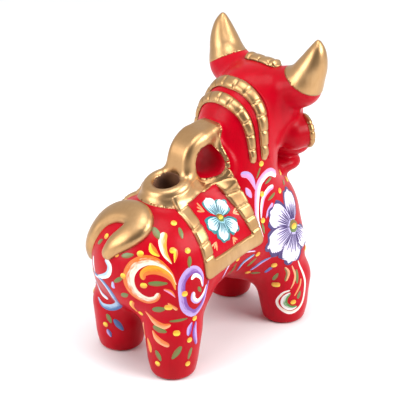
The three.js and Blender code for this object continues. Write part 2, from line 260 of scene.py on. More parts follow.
def handle_mass(p, skin):
    """The handle with the thin raised rim that lies on the neck round the gap."""
    rim = soft_max(eyelet_gap(p) - GAP_RIM - 1.5, skin - 0.7, 2)
    return soft_min(handle_shape(p), soft_max(rim, 5 - np.abs(p[:, 1]), 2), 8)


def above_cloth(p):
    """Height over the line along the top of the saddle cloth's red field."""
    (xa, za), (xb, zb) = CLOTH_INNER[:2]
    return p[:, 2] - (za + (p[:, 0] - xa) * (zb - za) / (xb - xa))


def saddle_top(p):
    """Side elevation of the gold that runs from the handle down to the saddle cloth's red field."""
    return np.maximum(outline(p, CLOTH_OUTER, 5), -above_cloth(p))


def bore(p):
    height, radius = spout_frame(p)
    return np.maximum(radius - SPOUT_BORE, -height - SPOUT_DEPTH)


def hollow(p):
    return soft_min(ellipsoid(p, *HOLLOW), bore(p), 2)


def horn(q):
    return tube(q, HORN_ROWS, 4)


def red_surface(p):
    """The whole clay surface under the paint, with the handle's gap and the mouth cut through it."""
    skin = clay(p)
    d = soft_min(handle_mass(p, skin), ellipsoid(p, *MOUND), 8)
    d = soft_min(skin, d, 4.5)
    d = soft_max(d, -eyelet_gap(p), 2.4)
    return soft_max(d, -hollow(p), 1.2)


def red_field(p):
    q = fold(p)
    d = soft_min(red_surface(p), horn(q), 3)
    return soft_max(d, np.where(q[:, 1] > 8, seat_side(q), NO_CUT) - 1.2, 0.5)


def paint_level(p):
    return red_surface(p) - PAINT


def gold_edge(p):
    """Negative where the handle, the spout and the top of the saddle are painted gold."""
    rim = np.maximum(eyelet_gap(p) - GAP_RIM, 6 - np.abs(p[:, 1]))
    edge = np.minimum(soft_min(handle_shape(p) - 1.3, rim, 9), saddle_top(p))
    height, _ = spout_frame(p)
    edge = np.maximum(edge, GAP_PAINT_EDGE - eyelet_gap(p))
    return np.maximum(edge, np.where(p[:, 0] < -12, -16 - height, NO_CUT))


def gold_handle_field(p):
    return np.maximum(paint_level(p), gold_edge(p))


def horn_skin(p):
    return soft_min(red_surface(p), horn(fold(p)), 3) - PAINT


def horn_edge(p):
    return -seat_side(fold(p))


def horn_field(p):
    return np.maximum(horn_skin(p), horn_edge(p))


# ---- meshing ----
def sample(field, low, counts, cell, block=8):
    """Values of the field on a grid; blocks that lie far from the surface keep their middle's value."""
    blocks = -(-counts // block)
    corner = np.stack(np.meshgrid(*[np.arange(b) for b in blocks], indexing="ij"), -1).reshape(-1, 3)
    middle = low + (corner * block + (block - 1) / 2) * cell
    value = field(middle)
    near = np.abs(value) < block * cell * 1.5
    step = np.stack(np.meshgrid(*[np.arange(block)] * 3, indexing="ij"), -1).reshape(-1, 3)
    out = np.repeat(value[:, None], block ** 3, 1).astype(np.float32)
    index = np.flatnonzero(near)
    for part in np.array_split(index, max(1, len(index) // 400)):
        points = low + (corner[part][:, None] * block + step[None]) * cell
        out[part] = field(points.reshape(-1, 3)).reshape(len(part), -1)
    out = out.reshape(*blocks, block, block, block).transpose(0, 3, 1, 4, 2, 5)
    return out.reshape(*(blocks * block))


def gradient(field, p, e=0.05):
    k = np.array([[1, -1, -1], [-1, -1, 1], [-1, 1, -1], [1, 1, 1]], float)
    g = sum(c * field(p + e * c)[:, None] for c in k)
    return g / (4 * e)


def settle(field, p, level=0.0, rounds=3, limit=1.0):
    """Moves points straight onto the surface field = level."""
    p = p.copy()
    for _ in range(rounds):
        g = gradient(field, p)
        size = np.maximum(np.einsum("ij,ij->i", g, g), 0.05)
        step = np.clip((field(p) - level) / size, -limit, limit)
        p -= g * step[:, None]
    return p


def crease(pair, p, cell):
    """Moves the points near the line where two surfaces meet onto that line."""
    p = p.copy()
    near = np.all([np.abs(f(p)) < 0.75 * cell for f in pair], axis=0)
    q = p[near]
    for _ in range(4):
        g = [gradient(f, q) for f in pair]
        r = [f(q) for f in pair]
        aa, bb, ab = (np.einsum("ij,ij->i", g[i], g[j]) for i, j in ((0, 0), (1, 1), (0, 1)))
        det = np.maximum(aa * bb - ab * ab, 0.02)
        one, two = (bb * r[0] - ab * r[1]) / det, (aa * r[1] - ab * r[0]) / det
        step = one[:, None] * g[0] + two[:, None] * g[1]
        size = length(step)
        q -= step * np.minimum(1, 0.6 * cell / (size + 1e-9))[:, None]
    p[near] = q
    return p


def surface(field, low, high, cell, pair=None):
    """Closed quad mesh of field = 0: one vertex in each cell that the surface crosses."""
    low, high = np.array(low, float), np.array(high, float)
    counts = np.ceil((high - low) / cell).astype(int) + 1
    v = sample(field, low, counts, cell)
    inside = v < 0
    n = np.array(v.shape)
    corners = [(i, j, k) for i in (0, 1) for j in (0, 1) for k in (0, 1)]

    def part(a, c):
        return a[c[0]:n[0] - 1 + c[0], c[1]:n[1] - 1 + c[1], c[2]:n[2] - 1 + c[2]]

    total = sum(part(inside, c).astype(np.int8) for c in corners)
    mixed = (total > 0) & (total < 8)
    cells = np.argwhere(mixed)
    number = np.full(mixed.shape, -1, np.int64)
    number[mixed] = np.arange(len(cells))
    place, weight = np.zeros((len(cells), 3)), np.zeros(len(cells))
    for a in corners:
        for axis in range(3):
            if a[axis]:
                continue
            b = tuple(1 if i == axis else a[i] for i in range(3))
            va, vb = part(v, a)[mixed], part(v, b)[mixed]
            cross = (va < 0) != (vb < 0)
            t = np.where(cross, va / np.where(cross, va - vb, 1), 0)
            point = np.array(a, float) + t[:, None] * (np.array(b) - np.array(a))
            place += np.where(cross[:, None], point, 0)
            weight += cross
    points = low + (cells + place / weight[:, None]) * cell
    quads = []
    for axis in range(3):
        u, w = (axis + 1) % 3, (axis + 2) % 3
        first = [slice(1, -1)] * 3
        first[axis] = slice(0, -1)
        second = list(first)
        second[axis] = slice(1, None)
        one, two = inside[tuple(first)], inside[tuple(second)]
        at = np.argwhere(one != two)
        outward = one[tuple(at.T)]
        at = at + np.array([0 if i == axis else 1 for i in range(3)])
        eu, ew = np.eye(3, dtype=int)[u], np.eye(3, dtype=int)[w]
        ring = [number[tuple((at + s).T)] for s in (-eu - ew, -ew, 0 * eu, -eu)]
        quad = np.stack(ring, 1)
        quad[~outward] = quad[~outward][:, ::-1]
        quads.append(quad)
    points = settle(field, points, limit=0.6 * cell)
    if pair:
        points = crease(pair, points, cell)
    return points, np.concatenate(quads)


def add_object(name, data):
    thing = bpy.data.objects.new(name, data)
    bpy.context.scene.collection.objects.link(thing)
    return thing


def new_mesh(name, points, faces):
    """A Blender object from points in millimetres and faces of equal size."""
    points = (np.asarray(points, float) - np.array([CENTRE_X, 0, 0])) / 1000
    faces = np.asarray(faces)
    mesh = bpy.data.meshes.new(name)
    mesh.vertices.add(len(points))
    mesh.vertices.foreach_set("co", points.astype(np.float32).ravel())
    mesh.loops.add(faces.size)
    mesh.loops.foreach_set("vertex_index", faces.astype(np.int32).ravel())
    mesh.polygons.add(len(faces))
    mesh.polygons.foreach_set("loop_start", np.arange(0, faces.size, faces.shape[1], dtype=np.int32))
    mesh.update(calc_edges=True)
    mesh.validate()
    mesh.polygons.foreach_set("use_smooth", np.ones(len(mesh.polygons), bool))
    return add_object(name, mesh)


def add_piece(piece, look, *nodes):
    """A look is a material and the slot that it belongs to; the slot is not used."""
    material, slot = look
    piece.data.materials.append(material)
    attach(piece, "root")
    if nodes:
        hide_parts(*nodes)


# ---- relief laid along a route on the skin ----
VIEWS = {                       # an elevation's start plane and the direction that it looks in
    "right": ((0, -70, 0), (0, 1, 0)), "left": ((0, 70, 0), (0, -1, 0)), "rear": ((-110, 0, 0), (1, 0, 0)),
}


def on_skin(view, a, b):
    """The points of the skin that lie at a across and b up in a side or rear elevation."""
    origin, direction = (np.array(v, float) for v in VIEWS[view])
    p = np.tile(origin, (len(a), 1))
    p[:, 0 if direction[1] else 1] = a
    p[:, 2] = b
    for _ in range(60):
        p += direction * np.clip(red_surface(p), -3, 12)[:, None] * 0.85
    return p


class Relief:
    """Strips that hug the skin, each along its own route; all of them become one mesh of closed strips."""

    def __init__(self, field, across, spacing):
        self.field, self.across, self.spacing, self.strips, self.level = field, across, spacing, [], 0.0

    def add(self, rows, height):
        """rows hold x, y, z and half width; height(s, t, total) is the rise at s along and t across."""
        self.strips.append(dict(line=spline(rows, 10), height=height, sink=0.5, tones=None, level=self.level))

    def rows_of(self, strip):
        """The route cut again with steps that shorten towards both ends."""
        line = strip["line"]
        run = np.concatenate([[0], np.cumsum(length(np.diff(line[:, :3], axis=0)))])
        keep = np.concatenate([[True], np.diff(run) > 1e-6])
        run, line = run[keep], line[keep]
        count = int(np.clip(run[-1] / self.spacing, 4, 160)) + 5
        share = np.linspace(0, 1, count)
        s = run[-1] * (0.5 * share + 0.25 * (1 - np.cos(math.pi * share)))
        return s, np.column_stack([np.interp(s, run, line[:, i]) for i in range(4)])

    def build(self, name):
        m = self.across
        t = np.sin(np.linspace(-math.pi / 2, math.pi / 2, m + 1))
        cut = [self.rows_of(strip) for strip in self.strips]
        ends = np.cumsum([0] + [len(s) for s, _ in cut])
        centre = settle(self.field, np.concatenate([line[:, :3] for _, line in cut]), 0.0, 3, 3.0)
        normal = gradient(self.field, centre)
        normal /= length(normal)[:, None]
        grids = []
        for (s, line), first, last in zip(cut, ends[:-1], ends[1:]):
            c, n = centre[first:last], normal[first:last]
            side = np.cross(n, np.gradient(c, axis=0))
            side /= length(side)[:, None] + 1e-9
            half = line[:, 3].copy()
            for away, w in ((s, half[0]), (s[-1] - s, half[-1])):
                reach = np.clip(1 - away / max(w, 0.05), 0, 1)
                half = np.where(reach > 0, np.minimum(half, w * np.sqrt(1 - reach ** 2)), half)
            half = np.maximum(half, 0.03)
            grids.append(c[:, None] + side[:, None] * (half[:, None] * t)[:, :, None])
        flat = settle(self.field, np.concatenate([g.reshape(-1, 3) for g in grids]), 0.0, 2, 3.0)
        up = gradient(self.field, flat)
        up /= length(up)[:, None]
        points, faces, brush, left, right = [], [], [], [], []
        start = base = 0
        for index, ((s, _), strip) in enumerate(zip(cut, self.strips)):
            rows = len(s)
            count = rows * (m + 1)
            p, n = flat[start:start + count], up[start:start + count]
            start += count
            rise = strip["height"](s[:, None], t[None], s[-1]) * np.ones((rows, m + 1)) + strip["level"]
            points += [p + n * rise.reshape(-1, 1), p - n * strip["sink"]]
            faces.append(closed_grid(rows, m + 1) + base)
            lay = np.stack([np.repeat(s, m + 1), np.tile((t + 1) / 2, rows), np.full(count, index * 3.7)], 1)
            brush += [lay, lay]
            tones = strip["tones"]
            if tones:
                (la, ra), (lb, rb) = tones if isinstance(tones[0][0], tuple) else (tones, tones)
                share = np.repeat(s / s[-1], m + 1)[:, None]
                share = share * share * (3 - 2 * share)
                left += [np.array(la) * (1 - share) + np.array(lb) * share] * 2
                right += [np.array(ra) * (1 - share) + np.array(rb) * share] * 2
            base += 2 * count
        piece = new_mesh(name, np.concatenate(points), np.concatenate(faces))
        store(piece, "brush", "FLOAT_VECTOR", "vector", np.concatenate(brush))
        if left:
            store(piece, "paint_left", "FLOAT_COLOR", "color", np.concatenate(left))
            store(piece, "paint_right", "FLOAT_COLOR", "color", np.concatenate(right))
        return piece


def closed_grid(rows, columns):
    """Faces of an upper and a lower grid of points and of the wall between them."""
    count = rows * columns
    i, j = np.meshgrid(np.arange(rows - 1), np.arange(columns - 1), indexing="ij")
    k = (i * columns + j).ravel()
    upper = np.stack([k, k + columns, k + columns + 1, k + 1], 1)
    i = np.arange(rows - 1) * columns
    j = np.arange(columns - 1)
    last, end = columns - 1, (rows - 1) * columns
    walls = [
        np.stack([i, i + count, i + columns + count, i + columns], 1)[:, ::-1],
        np.stack([i + last, i + last + columns, i + last + columns + count, i + last + count], 1)[:, ::-1],
        np.stack([j, j + 1, j + 1 + count, j + count], 1)[:, ::-1],
        np.stack([end + j, end + j + count, end + j + 1 + count, end + j + 1], 1)[:, ::-1],
    ]
    return np.concatenate([upper[:, ::-1], upper + count, *[w[:, ::-1] for w in walls]])


def store(piece, name, kind, field, values):
    layer = piece.data.attributes.new(name, kind, "POINT")
    layer.data.foreach_set(field, values.astype(np.float32).ravel())


# ---- materials ----
def srgb(r, g, b):
    """Linear colour from 0 to 255 display values."""
    def one(v):
        v /= 255
        return v / 12.92 if v <= 0.04045 else ((v + 0.055) / 1.055) ** 2.4
    return (one(r), one(g), one(b), 1)


class Material:
    """A small helper for node materials."""

    def __init__(self, name):
        self.material = bpy.data.materials.new(name)
        self.material.use_nodes = True
        self.tree = self.material.node_tree
        self.tree.nodes.clear()
        self.shader = self.node("ShaderNodeBsdfPrincipled")
        output = self.node("ShaderNodeOutputMaterial")
        self.link(self.shader, "BSDF", output, "Surface")

    def node(self, kind, **values):
        node = self.tree.nodes.new(kind)
        for key, value in values.items():
            setattr(node, key, value)
        return node

    def link(self, a, out, b, into):
        self.tree.links.new(a.outputs[out], b.inputs[into])

    def noise(self, scale, detail, roughness, stretch=None, distortion=0.0):
        """Noise in object space; scale counts features per metre."""
        coordinates = self.node("ShaderNodeTexCoord")
        noise = self.node("ShaderNodeTexNoise")
        noise.inputs["Scale"].default_value = scale
        noise.inputs["Detail"].default_value = detail
        noise.inputs["Roughness"].default_value = roughness
        noise.inputs["Distortion"].default_value = distortion
        if stretch:
            mapping = self.node("ShaderNodeMapping")
            mapping.inputs["Scale"].default_value = stretch
            self.link(coordinates, "Object", mapping, "Vector")
            self.link(mapping, "Vector", noise, "Vector")
        else:
            self.link(coordinates, "Object", noise, "Vector")
        return noise

    def ramp(self, source, out, stops):
        ramp = self.node("ShaderNodeValToRGB")
        band = ramp.color_ramp
        while len(band.elements) < len(stops):
            band.elements.new(0.5)
        for element, (place, colour) in zip(band.elements, stops):
            element.position = place
            element.color = colour
        self.link(source, out, ramp, "Fac")
        return ramp

    def grey(self, source, out, stops):
        return self.ramp(source, out, [(place, (v, v, v, 1)) for place, v in stops])

    def mix(self, factor, a, b, blend="MIX"):
        """a, b and factor are (node, output) pairs, colours or numbers."""
        mix = self.node("ShaderNodeMix", data_type="RGBA", blend_type=blend)
        for value, socket in ((factor, 0), (a, 6), (b, 7)):
            if isinstance(value, tuple) and isinstance(value[0], bpy.types.Node):
                self.tree.links.new(value[0].outputs[value[1]], mix.inputs[socket])
            else:
                mix.inputs[socket].default_value = value
        return mix, 2

    def math(self, operation, a, b):
        node = self.node("ShaderNodeMath", operation=operation)
        for value, socket in ((a, 0), (b, 1)):
            if isinstance(value, tuple):
                self.tree.links.new(value[0].outputs[value[1]], node.inputs[socket])
            else:
                node.inputs[socket].default_value = value
        return node, 0

    def colour(self, pair):
        self.tree.links.new(pair[0].outputs[pair[1]], self.shader.inputs["Base Color"])

    def roughness(self, pair):
        self.tree.links.new(pair[0].outputs[pair[1]], self.shader.inputs["Roughness"])

    def bump(self, pair, strength, distance, below=None):
        bump = self.node("ShaderNodeBump")
        bump.inputs["Strength"].default_value = strength
        bump.inputs["Distance"].default_value = distance
        self.tree.links.new(pair[0].outputs[pair[1]], bump.inputs["Height"])
        if below is not None:
            self.tree.links.new(below.outputs["Normal"], bump.inputs["Normal"])
        self.link(bump, "Normal", self.shader, "Normal")
        return bump

    def set(self, **values):
        for key, value in values.items():
            self.shader.inputs[key.replace("_", " ")].default_value = value


def red_glaze():
    m = Material("red_glaze")
    broad = m.noise(22, 4, 0.55)
    tone = m.ramp(broad, "Fac", [(0.3, srgb(168, 0, 18)), (0.55, srgb(184, 0, 26)), (0.75, srgb(196, 2, 36))])
    strokes = m.noise(260, 5, 0.6, stretch=(1, 1, 0.16), distortion=0.4)
    mask = m.grey(strokes, "Fac", [(0.42, 0), (0.72, 0.35)])
    m.colour(m.mix((mask, "Color"), (tone, "Color"), srgb(150, 0, 12)))
    sheen = m.noise(60, 3, 0.5)
    m.roughness((m.grey(sheen, "Fac", [(0.3, 0.27), (0.7, 0.4)]), "Color"))
    fine = m.bump((m.noise(900, 3, 0.5), "Fac"), 0.18, 0.00012)
    m.bump((strokes, "Fac"), 0.25, 0.00015, below=fine)
    m.set(Specular_IOR_Level=0.1, Coat_Weight=0.05, Coat_Roughness=0.15)
    return m.material


def gold_paint():
    m = Material("gold_paint")
    broad = m.noise(30, 4, 0.6)
    stops = [(0.3, srgb(180, 138, 92)), (0.55, srgb(192, 152, 106)), (0.75, srgb(204, 168, 124))]
    tone = m.ramp(broad, "Fac", stops)
    strokes = m.noise(240, 6, 0.65, stretch=(1, 1, 0.25), distortion=0.6)
    mask = m.grey(strokes, "Fac", [(0.4, 0), (0.7, 0.4)])
    m.colour(m.mix((mask, "Color"), (tone, "Color"), srgb(170, 128, 82)))
    m.roughness((m.grey(strokes, "Fac", [(0.3, 0.3), (0.75, 0.42)]), "Color"))
    fine = m.bump((m.noise(1400, 3, 0.6), "Fac"), 0.3, 0.00006)
    m.bump((strokes, "Fac"), 0.3, 0.0001, below=fine)
    m.set(Metallic=0.92, Specular_IOR_Level=0.5)
    return m.material


def painted_shade_hollow():
    m = Material("painted_shade_hollow")
    # dark browns: painted shade inside the spout's hollow
    tone = m.ramp(m.noise(90, 4, 0.6), "Fac", [(0.3, srgb(74, 44, 28)), (0.7, srgb(120, 78, 50))])
    m.colour((tone, "Color"))
    m.roughness((m.grey(m.noise(300, 3, 0.5), "Fac", [(0.3, 0.6), (0.7, 0.85)]), "Color"))
    m.bump((m.noise(700, 3, 0.5), "Fac"), 0.3, 0.0002)
    return m.material


def brush_paint():
    """Two colours carried by each stroke, streaked along it as a loaded brush leaves them."""
    m = Material("brush_paint")
    brush = m.node("ShaderNodeAttribute", attribute_name="brush")
    left = m.node("ShaderNodeAttribute", attribute_name="paint_left")
    right = m.node("ShaderNodeAttribute", attribute_name="paint_right")
    split = m.node("ShaderNodeSeparateXYZ")
    m.link(brush, "Vector", split, "Vector")
    mapping = m.node("ShaderNodeMapping")
    mapping.inputs["Scale"].default_value = (0.16, 5.5, 1)
    m.link(brush, "Vector", mapping, "Vector")
    streak = m.node("ShaderNodeTexNoise")
    streak.inputs["Scale"].default_value = 1.6
    streak.inputs["Detail"].default_value = 3
    m.link(mapping, "Vector", streak, "Vector")
    shift = m.math("MULTIPLY_ADD", (streak, "Fac"), 1.1)
    shift[0].inputs[2].default_value = -0.55
    across = m.math("ADD", (split, "Y"), shift)
    share = m.grey(across[0], across[1], [(0.3, 0), (0.7, 1)])
    mixed = m.mix((share, "Color"), (left, "Color"), (right, "Color"))
    fine = m.grey(streak, "Fac", [(0.25, 0.8), (0.75, 1.0)])
    m.colour(m.mix(0.8, mixed, (fine, "Color"), "MULTIPLY"))
    m.roughness((m.grey(streak, "Fac", [(0.3, 0.3), (0.7, 0.48)]), "Color"))
    m.bump((streak, "Fac"), 0.35, 0.0001)
    m.set(Specular_IOR_Level=0.45, Coat_Weight=0.3, Coat_Roughness=0.15)
    return m.material


def enamel(name, dark, light, scale, smoothest):
    m = Material(name)
    tone = m.ramp(m.noise(scale, 4, 0.5), "Fac", [(0.3, dark), (0.7, light)])
    m.colour((tone, "Color"))
    m.roughness((m.grey(m.noise(400, 3, 0.5), "Fac", [(0.3, smoothest), (0.7, 0.3)]), "Color"))
    m.bump((m.noise(900, 3, 0.5), "Fac"), 0.15, 0.0001)
    m.set(Coat_Weight=0.4, Coat_Roughness=0.1)
    return m.material


# ---- the pieces ----
RED, GOLD = (red_glaze(), "red_glaze"), (gold_paint(), "gold_paint")
# the dark lining's material is painted shade inside the spout's mouth
HOLLOW_SHADE, BRUSH = (painted_shade_hollow(), "red_glaze"), (brush_paint(), "eye_white")
WHITE = (enamel("white_enamel", srgb(238, 234, 226), srgb(250, 248, 244), 180, 0.2), "eye_white")
BLACK = (enamel("black_enamel", srgb(14, 12, 14), srgb(34, 28, 30), 220, 0.18), "eye_white")
SIDES = (("left", 1), ("right", -1))


def field_piece(name, field, low, high, cell, look, *nodes, pair=None):
    points, faces = surface(field, low, high, cell, pair)
    add_piece(new_mesh(name, points, faces), look, *nodes)


# ---- body, handle, horns ----
field_piece("body_skin", red_field, (-84, -48, -3), (94, 48, 176), SKIN_CELL, RED,
            "barrel_left", "barrel_right", "neck", "skull", "snout", "lower_jaw",
            "leg_front_left", "leg_front_right", "leg_rear_left", "leg_rear_right",
            "horn_stub_left", "horn_stub_right", "eye_socket_left", "eye_socket_right")
field_piece("handle_and_spout", gold_handle_field, (-60, -30, 84), (24, 30, 148), GOLD_CELL, GOLD,
            "pouring_spout", "carrying_handle", "saddle_mound", pair=(paint_level, gold_edge))
for label, side in SIDES:
    near, far = (14, 56) if side > 0 else (-56, -14)
    field_piece(f"horn_{label}_gold", horn_field, (34, near, 150), (74, far, 194), HORN_CELL, GOLD,
                f"horn_{label}", pair=(horn_skin, horn_edge))


def shade_lining_field(p):
    """Bare clay inside the mouth, darkened as painted shade of the spout's hollow."""
    height, radius = spout_frame(p)
    d = np.maximum(red_surface(p) - 0.3, radius - SPOUT_BORE - 0.9)
    return np.maximum(d, np.abs(height + 12) - 13.5)


# the mouth's lining is a dark sheet of painted shade inside the spout
field_piece("mouth_shade_lining", shade_lining_field, (-46, -12, 82), (-20, 12, 118), 0.7, HOLLOW_SHADE)


# ---- tail ----
TAIL = [                        # over the rump and down the left hip: x, y, z, radius
    (-76, 2, 80, 4.5), (-73, -2, 86, 6.5), (-68, -7, 91.5, 7.8), (-61.5, -8.5, 96, 8.6), (-57.5, -2, 99, 8.8),
    (-57.5, 9, 97.5, 8.6), (-60.5, 19.5, 91, 8.2), (-65, 25, 82, 7.4), (-66.5, 29, 73, 6.2),
    (-64, 32.5, 64, 3.6),
]
TAIL_LINE = spline(TAIL, 4)
TAIL_LINE[:, :3] = settle(clay, TAIL_LINE[:, :3], -0.5, 4, 3.0)


def tail_field(p):
    skin = clay(p)
    return np.maximum(soft_max(chain(p, TAIL_LINE), skin - TAIL_HEIGHT, 4), -skin - SHELL_SINK)


field_piece("tail_gold", tail_field, (-88, -24, 52), (-44, 46, 108), GOLD_CELL, GOLD, "tail")


# ---- saddle cloth ----
def border_field(side):
    def field(p):
        skin = red_surface(p)
        outer, inner = outline(p, CLOTH_OUTER, 5), outline(p, CLOTH_INNER, 0.8)
        notched = np.clip((p[:, 2] - 74) / 3, 0, 1)
        groove = np.exp(-((p[:, 2] - 0.25 * p[:, 0]) % NOTCH_STEP - NOTCH_STEP / 2) ** 2 / 0.35)
        above, gap = above_cloth(p), eyelet_gap(p)
        fade = np.clip(np.minimum((9 - above) / 8, (gap - 2) / 4), 0, 1)
        rise = BORDER_HEIGHT * fade - NOTCH_DEPTH * groove * notched
        width = 0.3 * groove * notched
        d = soft_max(soft_max(outer + width, -inner + width, 0.5), skin - rise, 1.6)
        return np.max([d, -skin - SHELL_SINK, 8 - p[:, 1] * side, above - 8, 3 - gap], axis=0)
    return field


def cloth_field(side):
    def field(p):
        skin = red_surface(p)
        d = soft_max(outline(p, CLOTH_INNER, 0.8) - 1.2, skin - CLOTH_HEIGHT, 0.5)
        return np.max([d, -skin - SHELL_SINK, 8 - p[:, 1] * side], axis=0)
    return field


for label, side in SIDES:
    near, far = (8, 47) if side > 0 else (-47, -8)
    field_piece(f"cloth_border_{label}_gold", border_field(side), (-46, near, 58), (20, far, 124), GOLD_CELL,
                GOLD, f"saddle_border_{label}")
    field_piece(f"cloth_field_{label}_red", cloth_field(side), (-40, near, 70), (12, far, 116), GOLD_CELL,
                RED, f"saddle_cloth_{label}")


# ---- ropes, forelock, dewlap ----
ROPE_FRONT = [                  # x, y, z, half width, one side from the nape downwards
    (21.5, 0, 163, 4.3), (23.3, 9, 161, 4.2), (25, 17, 156, 4), (26, 22.5, 149, 3.7),
    (25.8, 25, 142, 3.3), (25.4, 26.5, 133, 2.8), (25, 27.6, 117.5, 2.3),
]
ROPE_REAR = [
    (12.3, 0, 155.4, 4), (13.2, 11, 152.8, 3.8), (14.3, 17, 148.6, 3.5), (15.3, 21.2, 143, 3.2),
    (16.2, 24, 135, 2.8), (16.5, 25.4, 127, 2.4), (16.5, 26.4, 117.5, 2),
]
FORELOCK = [(50, 0, 162.5, 5), (50.5, 7, 163, 5), (51.5, 15.5, 162, 3.8)]
DEWLAP = [(60, 0, 95, 2.6), (67.5, 0, 88, 3.4), (72, 0, 76, 4), (72, 0, 60, 3.8), (68, 0, 49, 2)]


def whole(rows):
    """The rows of one side, carried over the middle to the other."""
    return [(x, -y, *rest) for x, y, *rest in rows[:0:-1]] + rows


def beads(rise, step, depth=0.45, cut=0.42):
    """Height of a rope whose coil is pressed down at every step."""
    def height(s, t, total):
        count = max(round(total / step), 1)
        along = (s / total * count) % 1
        gap = np.minimum(along, 1 - along) * total / count
        ends = np.clip(np.minimum(s, total - s) / 4, 0.35, 1)
        swell = 1 - depth * np.exp(-(gap / cut) ** 2) - 0.08 * np.exp(-(gap / 1.8) ** 2)
        return rise * ends * swell * np.sqrt(1 - 0.97 * np.abs(t) ** 2.6)
    return height


def relief_piece(name, rows, height, look, *nodes, across=12, spacing=0.45):
    relief = Relief(clay, across, spacing)
    relief.add(rows, height)
    add_piece(relief.build(name), look, *nodes)


relief_piece("rope_front_gold", whole(ROPE_FRONT), beads(2.9, 9.2), GOLD, "neck_rope_front")
relief_piece("rope_rear_gold", whole(ROPE_REAR), beads(2.7, 8.4), GOLD, "neck_rope_rear")
relief_piece("forelock_gold", whole(FORELOCK), beads(3.9, 7.4), GOLD, "forelock")
relief_piece("dewlap_gold", DEWLAP, beads(3, 60), GOLD, "dewlap", spacing=0.9)
for label, rows in (("front", ROPE_FRONT), ("rear", ROPE_REAR)):
    bead = [(x + half + 1.6, y, z, 0.8) for x, y, z, half in whole(rows)]
    relief_piece(f"rope_{label}_slip", bead, lambda s, t, total: 0.7 * (1 - t ** 2), RED,
                 across=6, spacing=1.2)


# ---- eyes ----
def around(side, profile, turns, name):
    """Turns a closed profile of radius and height, which may change with the angle, about the eye's axis."""
    look = eye_look(side)
    across = unit(np.cross(look, (0, 0, 1)))
    up = np.cross(across, look)
    centre = np.array(EYE[0], float) * (1, side, 1)
    angle = np.arange(turns) * 2 * math.pi / turns
    radius, height = profile(angle[:, None])
    points = (centre + height[..., None] * look + (radius * np.cos(angle[:, None]))[..., None] * across
              + (radius * np.sin(angle[:, None]))[..., None] * up)
    n = radius.shape[1]
    i, j = np.meshgrid(np.arange(turns), np.arange(n), indexing="ij")
    a, b = i * n + j, ((i + 1) % turns) * n + j
    c, d = ((i + 1) % turns) * n + (j + 1) % n, i * n + (j + 1) % n
    return new_mesh(name, points.reshape(-1, 3), np.stack([a, b, c, d], -1).reshape(-1, 4))


def ring_profile(angle):
    """Lobes pressed into the ring round the eye."""
    radius, thickness, lobes = EYE_RING
    section = np.arange(14) * 2 * math.pi / 14
    swell = thickness * (1 - 0.28 * np.exp(-((angle * lobes / (2 * math.pi)) % 1 - 0.5) ** 2 / 0.006))
    return radius + swell * np.cos(section), EYE_RIM + 0.9 + swell * np.sin(section)


def dome_profile(reach, base, top):
    def profile(angle):
        share = np.linspace(0.02, 1, 12)
        radius = np.concatenate([reach * np.sin(share * math.pi / 2), reach * share[::-1]])
        height = np.concatenate([base + (top - base) * np.cos(share * math.pi / 2), base - 0.6 + 0 * share])
        return radius + 0 * angle, height + 0 * angle
    return profile


for label, side in SIDES:
    ring = around(side, ring_profile, 120, f"eye_ring_{label}_gold")
    add_piece(ring, GOLD, f"eye_ring_{label}")
    ball = dome_profile(EYEBALL_RADIUS, EYE_RIM - 0.2, EYE_RIM + 3.2)
    add_piece(around(side, ball, 48, f"eyeball_{label}_white"), WHITE, f"eyeball_{label}")
    pupil = dome_profile(PUPIL_RADIUS, EYE_RIM + 2.2, EYE_RIM + 3.6)
    add_piece(around(side, pupil, 40, f"pupil_{label}"), BLACK)


# ---- painted decoration ----
CREAM, IVORY, LEMON = srgb(244, 232, 210), srgb(250, 246, 244), srgb(255, 214, 60)
AMBER, ORANGE, PEACH = srgb(232, 160, 40), srgb(232, 112, 30), srgb(248, 170, 120)
OLIVE, MOSS, PINK = srgb(122, 104, 40), srgb(96, 122, 52), srgb(236, 150, 196)
LAVENDER, VIOLET, PURPLE = srgb(190, 160, 222), srgb(122, 62, 158), srgb(62, 34, 104)
SKY, BLUE, NAVY = srgb(178, 206, 232), srgb(62, 108, 168), srgb(52, 66, 128)
TEAL, PETROL, LEAF_GREEN = srgb(24, 128, 132), srgb(16, 84, 100), srgb(70, 140, 50)
PETAL, ICE = srgb(238, 232, 248), srgb(226, 240, 250)

# how far out along a petal and how wide there, as shares
PETAL_OUTLINE = ((0.1, 0.3), (0.35, 0.78), (0.62, 1.0), (0.82, 0.92), (0.94, 0.64), (1.0, 0.26))


def film(rise):
    """A thin coat of paint that is thicker along the middle of its stroke."""
    return lambda s, t, total: rise * (0.35 + 0.65 * np.sqrt(1 - 0.98 * t ** 2))


def drop(s, t, total):
    """A drop of thick paint."""
    along = 2 * s / total - 1
    return 0.18 + 0.4 * np.sqrt(np.clip((1 - along ** 2) * (1 - t ** 2), 0, 1))


